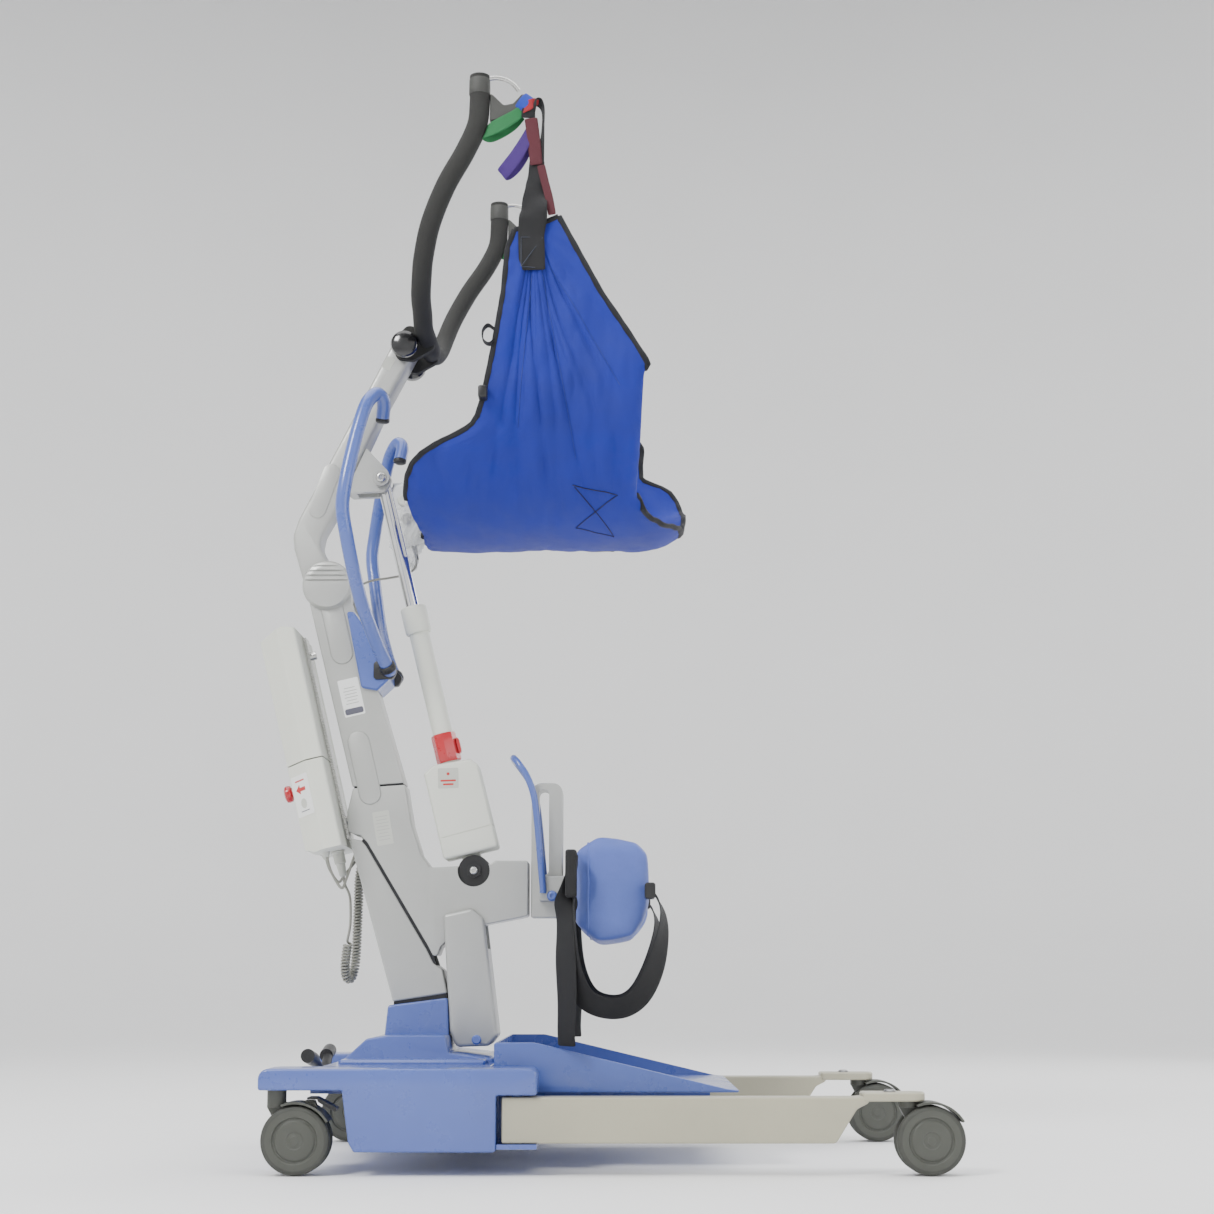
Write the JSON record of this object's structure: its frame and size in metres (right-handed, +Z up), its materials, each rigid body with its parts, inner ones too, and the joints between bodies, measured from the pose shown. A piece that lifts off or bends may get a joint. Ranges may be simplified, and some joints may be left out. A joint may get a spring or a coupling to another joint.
{
  "type": "sit-to-stand patient lift hoist",
  "caption": "Wheeled stand-aid hoist: powered boom on a raked mast, padded cradle with fabric sling, knee pad, foot tray, spreading legs, push handles and battery.",
  "frame": {"origin": "on the floor, at the middle of the outer box", "axes": "+X forward along the legs, +Y the machine's left, +Z up"},
  "size_m": [1.085, 0.66, 1.6935],
  "materials": {
    "base_beam": "powder coat",
    "side_cover_right": "moulded, satin gloss",
    "side_cover_left": "moulded, satin gloss",
    "centre_cover": "moulded, satin gloss",
    "foot_tray": "moulded, satin gloss",
    "spreader_pedal": "black powder coat with rubber treads",
    "leg_right": "satin powder coat",
    "leg_left": "satin powder coat",
    "front_caster_right": "moulded, matt",
    "front_caster_left": "moulded, matt",
    "rear_caster_right": "moulded, matt",
    "rear_caster_left": "moulded, matt",
    "front_wheel_right": "non-marking tread on a moulded wheel",
    "front_wheel_left": "non-marking tread on a moulded wheel",
    "rear_wheel_right": "non-marking tread on a moulded wheel",
    "rear_wheel_left": "non-marking tread on a moulded wheel",
    "brake_pedal_right": "moulded, matt",
    "brake_pedal_left": "moulded, matt",
    "mast_foot": "grey powder coat, fine texture",
    "mast_body": "grey powder coat, fine texture",
    "mast_tube": "grey powder coat, fine texture",
    "boom": "grey powder coat, fine texture",
    "boom_gusset": "grey powder coat, fine texture",
    "pivot_cap_right": "moulded, fine texture",
    "pivot_cap_left": "moulded, fine texture",
    "mast_strut": "moulded, fine texture",
    "boom_axle": "ground pin",
    "actuator_housing": "moulded, off-white",
    "actuator_tube": "moulded, off-white",
    "release_ring": "red, glossy",
    "actuator_rod": "polished",
    "actuator_pin": "black clevis and bolt",
    "battery_bracket": "bright plated",
    "battery_pack": "moulded, off-white, fine texture",
    "control_box": "moulded, off-white, fine texture",
    "stop_button": "red, glossy",
    "handset": "moulded, off-white",
    "handset_button_up": "soft key",
    "handset_button_down": "soft key",
    "cord_connector": "moulded strain relief",
    "cord_lower": "dark grey cord sheath",
    "cord_coil": "dark grey cord sheath",
    "cord_upper": "dark grey cord sheath",
    "handle_bracket": "blue powder coat",
    "push_handle_right": "blue coated tube",
    "push_handle_left": "blue coated tube",
    "cradle_bar": "black foam sleeve over a steel tube",
    "cradle_axle": "black knobs on a steel pin",
    "hook_right": "plated",
    "hook_left": "plated",
    "gate_right": "spring wire",
    "gate_left": "spring wire",
    "sling": "royal blue polyester with black binding",
    "knee_rail": "grey powder coat",
    "knee_carriage": "moulded, black",
    "knee_lever": "blue coated rod",
    "knee_pad": "soft blue vinyl over foam",
    "knee_strap_right": "black webbing",
    "knee_strap_left": "black webbing"
  },
  "bodies": {
    "base": {"base_beam": "base_beam", "side_cover_right": "side_cover_right", "side_cover_left": "side_cover_left", "centre_cover": "centre_cover", "foot_tray": "foot_tray", "mast_foot": "mast_foot", "mast_body": "mast_body", "mast_tube": "mast_tube", "pivot_cap_right": "pivot_cap_right", "pivot_cap_left": "pivot_cap_left", "mast_strut": "mast_strut", "boom_axle": "boom_axle", "actuator_pin": "actuator_pin", "battery_bracket": "battery_bracket", "control_box": "control_box", "cord_connector": "cord_connector", "cord_lower": "cord_lower", "cord_coil": "cord_coil", "cord_upper": "cord_upper", "handset": "handset", "handle_bracket": "handle_bracket", "push_handle_right": "push_handle_right", "push_handle_left": "push_handle_left", "knee_rail": "knee_rail"},
    "boom": {"boom": "boom", "boom_gusset": "boom_gusset", "cradle_bar": "cradle_bar", "cradle_axle": "cradle_axle", "hook_right": "hook_right", "hook_left": "hook_left"},
    "gate_right": {"gate_right": "gate_right"},
    "gate_left": {"gate_left": "gate_left"},
    "sling": {"sling": "sling"},
    "actuator": {"actuator_housing": "actuator_housing", "actuator_tube": "actuator_tube"},
    "actuator_rod": {"actuator_rod": "actuator_rod"},
    "release_ring": {"release_ring": "release_ring"},
    "leg_right": {"leg_right": "leg_right"},
    "leg_left": {"leg_left": "leg_left"},
    "spreader_pedal": {"spreader_pedal": "spreader_pedal"},
    "battery_pack": {"battery_pack": "battery_pack"},
    "stop_button": {"stop_button": "stop_button"},
    "handset_button_up": {"handset_button_up": "handset_button_up"},
    "handset_button_down": {"handset_button_down": "handset_button_down"},
    "knee_carriage": {"knee_carriage": "knee_carriage", "knee_pad": "knee_pad", "knee_strap_right": "knee_strap_right", "knee_strap_left": "knee_strap_left"},
    "knee_lever": {"knee_lever": "knee_lever"},
    "front_caster_right": {"front_caster_right": "front_caster_right"},
    "front_wheel_right": {"front_wheel_right": "front_wheel_right"},
    "rear_caster_right": {"rear_caster_right": "rear_caster_right"},
    "rear_wheel_right": {"rear_wheel_right": "rear_wheel_right"},
    "brake_pedal_right": {"brake_pedal_right": "brake_pedal_right"},
    "front_caster_left": {"front_caster_left": "front_caster_left"},
    "front_wheel_left": {"front_wheel_left": "front_wheel_left"},
    "rear_caster_left": {"rear_caster_left": "rear_caster_left"},
    "rear_wheel_left": {"rear_wheel_left": "rear_wheel_left"},
    "brake_pedal_left": {"brake_pedal_left": "brake_pedal_left"}
  },
  "joints": [
    {"name": "boom_lift", "type": "hinge", "parent": "base", "child": "boom", "pos_m": [-0.4375, 0, 0.922], "axis": [0, -1, 0], "range_deg": [-65, 0]},
    {"name": "sling_swing", "type": "hinge", "parent": "boom", "child": "sling", "pos_m": [-0.1325, 0, 1.646], "axis": [0, -1, 0], "range_deg": [0, 65.5]},
    {"name": "actuator_tilt", "type": "hinge", "parent": "base", "child": "actuator", "pos_m": [-0.1934, 0, 0.4552], "axis": [0, -1, 0], "range_deg": [-8.7, 0]},
    {"name": "actuator_stroke", "type": "slide", "parent": "actuator", "child": "actuator_rod", "axis": [-0.2381, 0, 0.9712], "range_m": [-0.2, 0]},
    {"name": "release_turn", "type": "hinge", "parent": "actuator", "child": "release_ring", "pos_m": [-0.1934, 0, 0.4552], "axis": [-0.2381, 0, 0.9712], "range_deg": [0, 90]},
    {"name": "leg_spread_right", "type": "hinge", "parent": "base", "child": "leg_right", "pos_m": [-0.1085, -0.3, 0.08], "axis": [0, 0, -1], "range_deg": [0, 13]},
    {"name": "leg_spread_left", "type": "hinge", "parent": "base", "child": "leg_left", "pos_m": [-0.1085, 0.3, 0.08], "axis": [0, 0, 1], "range_deg": [0, 13]},
    {"name": "pedal_rock", "type": "hinge", "parent": "base", "child": "spreader_pedal", "pos_m": [-0.4365, 0, 0.131], "axis": [1, 0, 0], "range_deg": [0, 18.3]},
    {"name": "front_swivel_right", "type": "hinge", "parent": "leg_right", "child": "front_caster_right", "pos_m": [0.4615, -0.3, 0.09], "axis": [0, 0, 1], "continuous": true},
    {"name": "front_roll_right", "type": "hinge", "parent": "front_caster_right", "child": "front_wheel_right", "pos_m": [0.4925, -0.3, 0.05], "axis": [0, 1, 0], "continuous": true},
    {"name": "rear_swivel_right", "type": "hinge", "parent": "base", "child": "rear_caster_right", "pos_m": [-0.4585, -0.3, 0.09], "axis": [0, 0, 1], "continuous": true},
    {"name": "rear_roll_right", "type": "hinge", "parent": "rear_caster_right", "child": "rear_wheel_right", "pos_m": [-0.4285, -0.3, 0.05], "axis": [0, 1, 0], "continuous": true},
    {"name": "brake_right", "type": "hinge", "parent": "rear_caster_right", "child": "brake_pedal_right", "pos_m": [-0.4055, -0.3, 0.11], "axis": [0, 1, 0], "range_deg": [0, 12]},
    {"name": "front_swivel_left", "type": "hinge", "parent": "leg_left", "child": "front_caster_left", "pos_m": [0.4615, 0.3, 0.09], "axis": [0, 0, 1], "continuous": true},
    {"name": "front_roll_left", "type": "hinge", "parent": "front_caster_left", "child": "front_wheel_left", "pos_m": [0.4925, 0.3, 0.05], "axis": [0, 1, 0], "continuous": true},
    {"name": "rear_swivel_left", "type": "hinge", "parent": "base", "child": "rear_caster_left", "pos_m": [-0.4585, 0.3, 0.09], "axis": [0, 0, 1], "continuous": true},
    {"name": "rear_roll_left", "type": "hinge", "parent": "rear_caster_left", "child": "rear_wheel_left", "pos_m": [-0.4285, 0.3, 0.05], "axis": [0, 1, 0], "continuous": true},
    {"name": "brake_left", "type": "hinge", "parent": "rear_caster_left", "child": "brake_pedal_left", "pos_m": [-0.4055, 0.3, 0.11], "axis": [0, 1, 0], "range_deg": [0, 12]},
    {"name": "battery_lift_out", "type": "slide", "parent": "base", "child": "battery_pack", "axis": [-0.23, 0, 0.9732], "range_m": [0, 0.12]},
    {"name": "stop_press", "type": "slide", "parent": "base", "child": "stop_button", "axis": [0.9732, 0, 0.23], "range_m": [0, 0.004], "stiffness_N_per_m": 400, "springref_m": -0.002},
    {"name": "press_up", "type": "slide", "parent": "base", "child": "handset_button_up", "axis": [0, 1, 0], "range_m": [0, 0.002], "stiffness_N_per_m": 400, "springref_m": -0.001},
    {"name": "press_down", "type": "slide", "parent": "base", "child": "handset_button_down", "axis": [0, 1, 0], "range_m": [0, 0.002], "stiffness_N_per_m": 400, "springref_m": -0.001},
    {"name": "knee_height", "type": "slide", "parent": "base", "child": "knee_carriage", "axis": [0, 0, 1], "range_m": [0, 0.12]},
    {"name": "lever_throw", "type": "hinge", "parent": "knee_carriage", "child": "knee_lever", "pos_m": [-0.0811, 0, 0.423], "axis": [0, -1, 0], "range_deg": [-28, 0]},
    {"name": "gate_right", "type": "hinge", "parent": "boom", "child": "gate_right", "pos_m": [-0.1595, -0.262, 1.69], "axis": [0, -1, 0], "range_deg": [-18, 0], "stiffness_Nm_per_rad": 0.05, "springref_deg": 22.92},
    {"name": "gate_left", "type": "hinge", "parent": "boom", "child": "gate_left", "pos_m": [-0.1595, 0.262, 1.69], "axis": [0, -1, 0], "range_deg": [-18, 0], "stiffness_Nm_per_rad": 0.05, "springref_deg": 22.92}
  ],
  "couplings": [
    {"joint": "sling_swing", "follows": "boom_lift", "ratio": -1},
    {"joint": "actuator_tilt", "follows": "boom_lift", "ratio": 0.13199},
    {"joint": "actuator_stroke", "follows": "boom_lift", "m_per_rad": 0.1761},
    {"joint": "leg_spread_left", "follows": "leg_spread_right", "ratio": 1},
    {"joint": "pedal_rock", "follows": "leg_spread_right", "ratio": 1.4}
  ]
}
